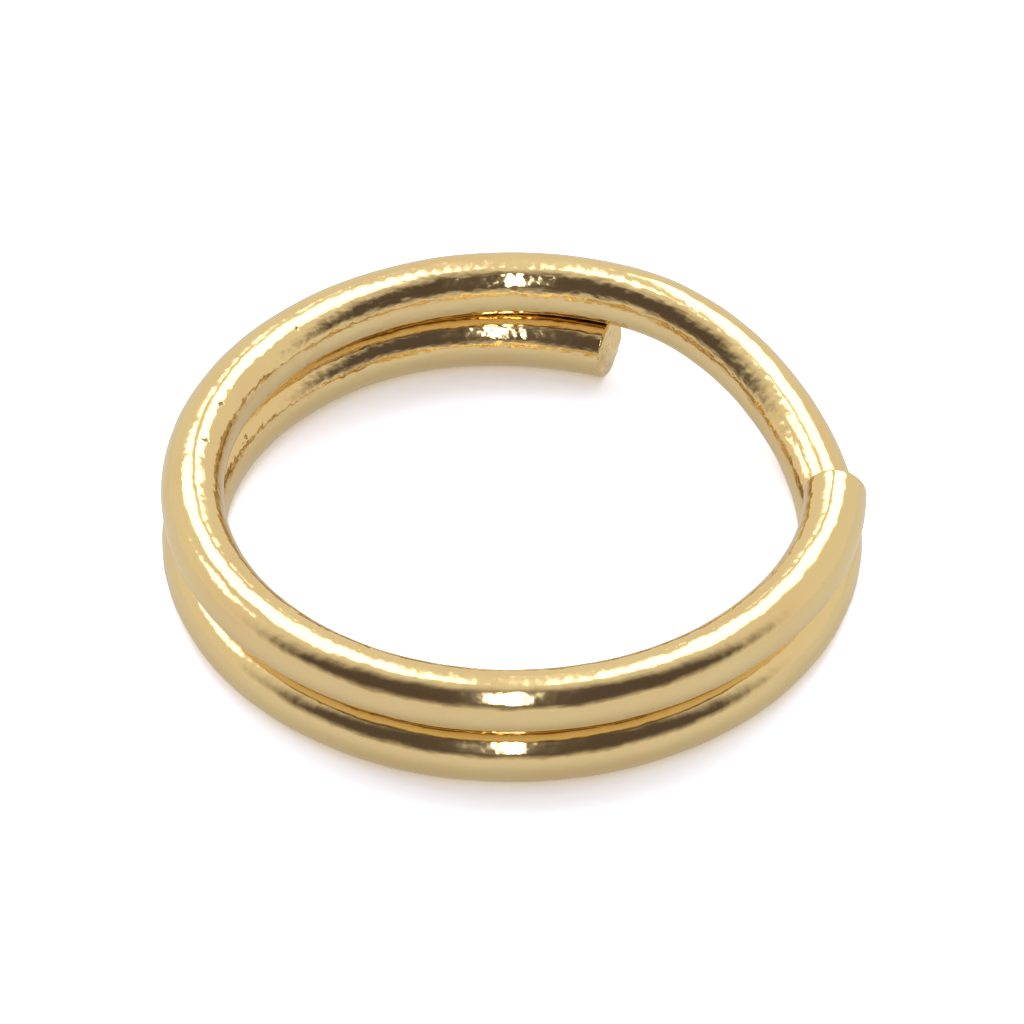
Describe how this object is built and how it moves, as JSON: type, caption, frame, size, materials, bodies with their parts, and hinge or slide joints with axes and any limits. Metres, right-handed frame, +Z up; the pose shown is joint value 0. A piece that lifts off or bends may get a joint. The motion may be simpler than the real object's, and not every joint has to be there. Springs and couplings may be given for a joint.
{
  "type": "split key ring",
  "caption": "Small double-loop split key ring of round gold-plated wire: two touching turns joined by a climbing crossover, with two sheared ends that spring open.",
  "frame": {"origin": "centre of the ring, on the surface that it lies on", "axes": "+Z up along the ring's own axis; the middle of the crossover lies towards -X; the wire climbs counter-clockwise seen from +Z"},
  "size_m": [0.01, 0.01, 0.0018],
  "materials": {
    "gold_plate": "mirror polished"
  },
  "bodies": {
    "crossover": {"crossover": "gold_plate"},
    "upper_turn_1": {"upper_turn_1": "gold_plate"},
    "upper_turn_2": {"upper_turn_2": "gold_plate"},
    "upper_turn_3": {"upper_turn_3": "gold_plate"},
    "upper_turn_4": {"upper_turn_4": "gold_plate"},
    "upper_turn_5": {"upper_turn_5": "gold_plate"},
    "upper_turn_6": {"upper_turn_6": "gold_plate"},
    "upper_turn_7": {"upper_turn_7": "gold_plate"},
    "upper_turn_8": {"upper_turn_8": "gold_plate"},
    "upper_turn_9": {"upper_turn_9": "gold_plate"},
    "upper_end": {"upper_end": "gold_plate"},
    "lower_turn_1": {"lower_turn_1": "gold_plate"},
    "lower_turn_2": {"lower_turn_2": "gold_plate"},
    "lower_turn_3": {"lower_turn_3": "gold_plate"},
    "lower_turn_4": {"lower_turn_4": "gold_plate"},
    "lower_turn_5": {"lower_turn_5": "gold_plate"},
    "lower_turn_6": {"lower_turn_6": "gold_plate"},
    "lower_turn_7": {"lower_turn_7": "gold_plate"},
    "lower_turn_8": {"lower_turn_8": "gold_plate"},
    "lower_turn_9": {"lower_turn_9": "gold_plate"},
    "lower_end": {"lower_end": "gold_plate"}
  },
  "joints": [
    {"name": "upper_spring", "type": "hinge", "parent": "crossover", "child": "upper_turn_1", "pos_m": [-0.00327, -0.00316, 0.00137], "axis": [0.8478, -0.5303, 0], "range_deg": [0, 0.851], "stiffness_Nm_per_rad": 1.17},
    {"name": "upper_bend_2", "type": "hinge", "parent": "upper_turn_1", "child": "upper_turn_2", "pos_m": [-0.00141, -0.00433, 0.00137], "axis": [0.9911, 0.1328, 0], "range_deg": [0, 1.2]},
    {"name": "upper_bend_3", "type": "hinge", "parent": "upper_turn_2", "child": "upper_turn_3", "pos_m": [0.00079, -0.00448, 0.00137], "axis": [0.8889, 0.4581, 0], "range_deg": [0, 1.48]},
    {"name": "upper_bend_4", "type": "hinge", "parent": "upper_turn_3", "child": "upper_turn_4", "pos_m": [0.0028, -0.00359, 0.00137], "axis": [0.7173, 0.6968, 0], "range_deg": [0, 1.62]},
    {"name": "upper_bend_5", "type": "hinge", "parent": "upper_turn_4", "child": "upper_turn_5", "pos_m": [0.00416, -0.00185, 0.00137], "axis": [0.479, 0.8778, 0], "range_deg": [0, 1.63]},
    {"name": "upper_bend_6", "type": "hinge", "parent": "upper_turn_5", "child": "upper_turn_6", "pos_m": [0.00454, 0.00032, 0.00137], "axis": [0.2018, 0.9794, 0], "range_deg": [0, 1.5]},
    {"name": "upper_bend_7", "type": "hinge", "parent": "upper_turn_6", "child": "upper_turn_7", "pos_m": [0.00386, 0.00241, 0.00137], "axis": [-0.0798, 0.9968, 0], "range_deg": [0, 1.27]},
    {"name": "upper_bend_8", "type": "hinge", "parent": "upper_turn_7", "child": "upper_turn_8", "pos_m": [0.00228, 0.00394, 0.00137], "axis": [-0.3337, 0.9427, 0], "range_deg": [0, 0.966]},
    {"name": "upper_bend_9", "type": "hinge", "parent": "upper_turn_8", "child": "upper_turn_9", "pos_m": [0.00016, 0.00455, 0.00137], "axis": [-0.5396, 0.842, 0], "range_deg": [0, 0.636]},
    {"name": "upper_bend_10", "type": "hinge", "parent": "upper_turn_9", "child": "upper_end", "pos_m": [-0.00199, 0.00409, 0.00137], "axis": [-0.6941, 0.7198, 0], "range_deg": [0, 0.312]},
    {"name": "lower_spring", "type": "hinge", "parent": "crossover", "child": "lower_turn_1", "pos_m": [-0.00327, 0.00316, 0.00045], "axis": [0.8478, 0.5303, 0], "range_deg": [0, 0.851], "stiffness_Nm_per_rad": 1.17},
    {"name": "lower_bend_2", "type": "hinge", "parent": "lower_turn_1", "child": "lower_turn_2", "pos_m": [-0.00141, 0.00433, 0.00045], "axis": [0.9911, -0.1328, 0], "range_deg": [0, 1.2]},
    {"name": "lower_bend_3", "type": "hinge", "parent": "lower_turn_2", "child": "lower_turn_3", "pos_m": [0.00079, 0.00448, 0.00045], "axis": [0.8889, -0.4581, 0], "range_deg": [0, 1.48]},
    {"name": "lower_bend_4", "type": "hinge", "parent": "lower_turn_3", "child": "lower_turn_4", "pos_m": [0.0028, 0.00359, 0.00045], "axis": [0.7173, -0.6968, 0], "range_deg": [0, 1.62]},
    {"name": "lower_bend_5", "type": "hinge", "parent": "lower_turn_4", "child": "lower_turn_5", "pos_m": [0.00416, 0.00185, 0.00045], "axis": [0.479, -0.8778, 0], "range_deg": [0, 1.63]},
    {"name": "lower_bend_6", "type": "hinge", "parent": "lower_turn_5", "child": "lower_turn_6", "pos_m": [0.00454, -0.00032, 0.00045], "axis": [0.2018, -0.9794, 0], "range_deg": [0, 1.5]},
    {"name": "lower_bend_7", "type": "hinge", "parent": "lower_turn_6", "child": "lower_turn_7", "pos_m": [0.00386, -0.00241, 0.00045], "axis": [-0.0798, -0.9968, 0], "range_deg": [0, 1.27]},
    {"name": "lower_bend_8", "type": "hinge", "parent": "lower_turn_7", "child": "lower_turn_8", "pos_m": [0.00228, -0.00394, 0.00045], "axis": [-0.3337, -0.9427, 0], "range_deg": [0, 0.966]},
    {"name": "lower_bend_9", "type": "hinge", "parent": "lower_turn_8", "child": "lower_turn_9", "pos_m": [0.00016, -0.00455, 0.00045], "axis": [-0.5396, -0.842, 0], "range_deg": [0, 0.636]},
    {"name": "lower_bend_10", "type": "hinge", "parent": "lower_turn_9", "child": "lower_end", "pos_m": [-0.00199, -0.00409, 0.00045], "axis": [-0.6941, -0.7198, 0], "range_deg": [0, 0.312]}
  ],
  "couplings": [
    {"joint": "upper_bend_2", "follows": "upper_spring", "ratio": 1.4104},
    {"joint": "upper_bend_3", "follows": "upper_spring", "ratio": 1.7343},
    {"joint": "upper_bend_4", "follows": "upper_spring", "ratio": 1.9002},
    {"joint": "upper_bend_5", "follows": "upper_spring", "ratio": 1.9116},
    {"joint": "upper_bend_6", "follows": "upper_spring", "ratio": 1.7665},
    {"joint": "upper_bend_7", "follows": "upper_spring", "ratio": 1.4917},
    {"joint": "upper_bend_8", "follows": "upper_spring", "ratio": 1.1345},
    {"joint": "upper_bend_9", "follows": "upper_spring", "ratio": 0.7467},
    {"joint": "upper_bend_10", "follows": "upper_spring", "ratio": 0.3657},
    {"joint": "lower_bend_2", "follows": "lower_spring", "ratio": 1.4104},
    {"joint": "lower_bend_3", "follows": "lower_spring", "ratio": 1.7343},
    {"joint": "lower_bend_4", "follows": "lower_spring", "ratio": 1.9002},
    {"joint": "lower_bend_5", "follows": "lower_spring", "ratio": 1.9116},
    {"joint": "lower_bend_6", "follows": "lower_spring", "ratio": 1.7665},
    {"joint": "lower_bend_7", "follows": "lower_spring", "ratio": 1.4917},
    {"joint": "lower_bend_8", "follows": "lower_spring", "ratio": 1.1345},
    {"joint": "lower_bend_9", "follows": "lower_spring", "ratio": 0.7467},
    {"joint": "lower_bend_10", "follows": "lower_spring", "ratio": 0.3657}
  ]
}
